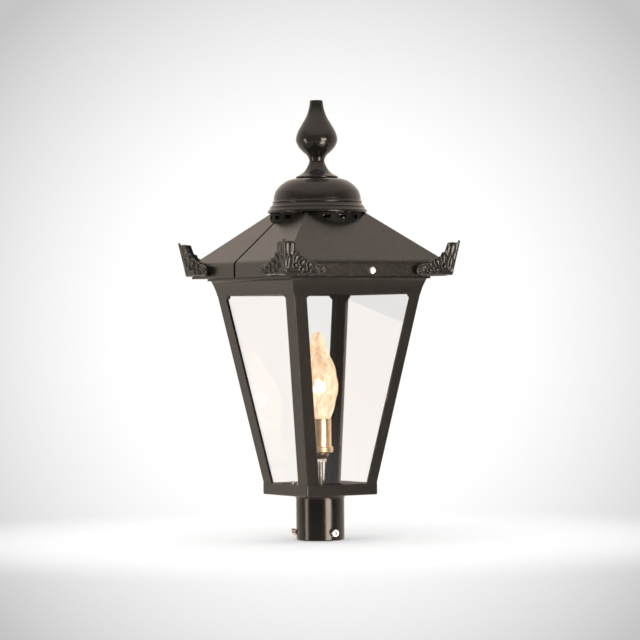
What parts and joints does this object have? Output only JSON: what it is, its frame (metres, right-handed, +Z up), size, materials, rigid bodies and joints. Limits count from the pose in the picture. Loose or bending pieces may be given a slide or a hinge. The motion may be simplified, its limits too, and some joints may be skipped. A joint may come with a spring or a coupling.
{
  "type": "post top lantern",
  "caption": "Square tapered post top lantern with clear panes, hipped roof, corner crests, ventilator dome, turned finial and a socket that slides over a lamp post.",
  "frame": {"origin": "centre of the post socket's open lower end", "axes": "+Z up along the lantern's axis, -Y the front face with the catch screw, +Y the hinge side, X across"},
  "size_m": [0.3584, 0.3584, 0.766],
  "materials": {
    "powder_coat": "satin black-brown powder coat with a fine texture",
    "cast_coat": "semi-gloss black-brown coat over castings",
    "bright_steel": "bright stainless steel",
    "zinc_steel": "zinc-plated steel",
    "brass": "polished brass",
    "pane_glass": "clear flat glass",
    "lamp_glass": "pale frosted glass, lit from inside",
    "lamp_metal": "nickel-plated brass and tungsten",
    "insulator": "glazed porcelain",
    "grommet_rubber": "soft black rubber",
    "terminal_plastic": "off-white polyamide"
  },
  "bodies": {
    "body": {"post_socket": "powder_coat", "socket_flange": "powder_coat", "bottom_frame": "powder_coat", "top_frame": "powder_coat", "corner_post_front": "powder_coat", "corner_post_right": "powder_coat", "corner_post_rear": "powder_coat", "corner_post_left": "powder_coat", "glazing_beads": "powder_coat", "base_plate": "powder_coat", "hinge_brackets": "powder_coat", "socket_screws": "zinc_steel", "socket_nuts": "zinc_steel", "base_screws": "zinc_steel", "frame_screws": "zinc_steel", "hinge_screws": "zinc_steel", "hinge_pins": "zinc_steel", "stem_nuts": "zinc_steel", "lamp_stem": "zinc_steel", "earth_stud": "zinc_steel", "terminal_screws": "zinc_steel", "holder_base": "brass", "shade_ring": "brass", "holder_sleeve": "brass", "holder_contact": "brass", "glass_pane_front": "pane_glass", "glass_pane_right": "pane_glass", "glass_pane_rear": "pane_glass", "glass_pane_left": "pane_glass", "holder_insert": "insulator", "cable_grommet": "grommet_rubber", "terminal_block": "terminal_plastic"},
    "roof": {"roof_shell": "powder_coat", "roof_soffit": "powder_coat", "roof_seam_strip": "powder_coat", "corner_crest_front": "cast_coat", "corner_crest_right": "cast_coat", "corner_crest_rear": "cast_coat", "corner_crest_left": "cast_coat", "crest_screws": "zinc_steel", "hinge_leaves": "powder_coat", "leaf_rivets": "powder_coat", "catch_nut": "zinc_steel", "vent_collar": "powder_coat", "dome_bridge": "zinc_steel", "bridge_screws": "zinc_steel", "dome_spacer": "zinc_steel", "dome_cap": "powder_coat", "finial_stud": "zinc_steel", "stud_nut": "zinc_steel", "finial": "cast_coat"},
    "lamp": {"lamp_cap": "lamp_metal", "lamp_envelope": "lamp_glass", "lamp_mount": "lamp_glass", "lamp_filament": "lamp_metal"},
    "catch_screw": {"catch_screw": "bright_steel"},
    "set_bolt_1": {"set_bolt_1": "bright_steel"},
    "set_bolt_2": {"set_bolt_2": "bright_steel"},
    "set_bolt_3": {"set_bolt_3": "bright_steel"}
  },
  "joints": [
    {"name": "roof_hinge", "type": "hinge", "parent": "body", "child": "roof", "pos_m": [0, 0.16651, 0.46], "axis": [-1, 0, 0], "range_deg": [0, 100]},
    {"name": "catch_screw_travel", "type": "slide", "parent": "roof", "child": "catch_screw", "axis": [0, -1, 0], "range_m": [0, 0.012]},
    {"name": "lamp_travel", "type": "slide", "parent": "body", "child": "lamp", "axis": [0, 0, 1], "range_m": [0, 0.04]},
    {"name": "set_bolt_1_travel", "type": "slide", "parent": "body", "child": "set_bolt_1", "axis": [0, -1, 0], "range_m": [-0.0008, 0.0034]},
    {"name": "set_bolt_2_travel", "type": "slide", "parent": "body", "child": "set_bolt_2", "axis": [0.866, 0.5, 0], "range_m": [-0.0008, 0.0034]},
    {"name": "set_bolt_3_travel", "type": "slide", "parent": "body", "child": "set_bolt_3", "axis": [-0.866, 0.5, 0], "range_m": [-0.0008, 0.0034]}
  ]
}
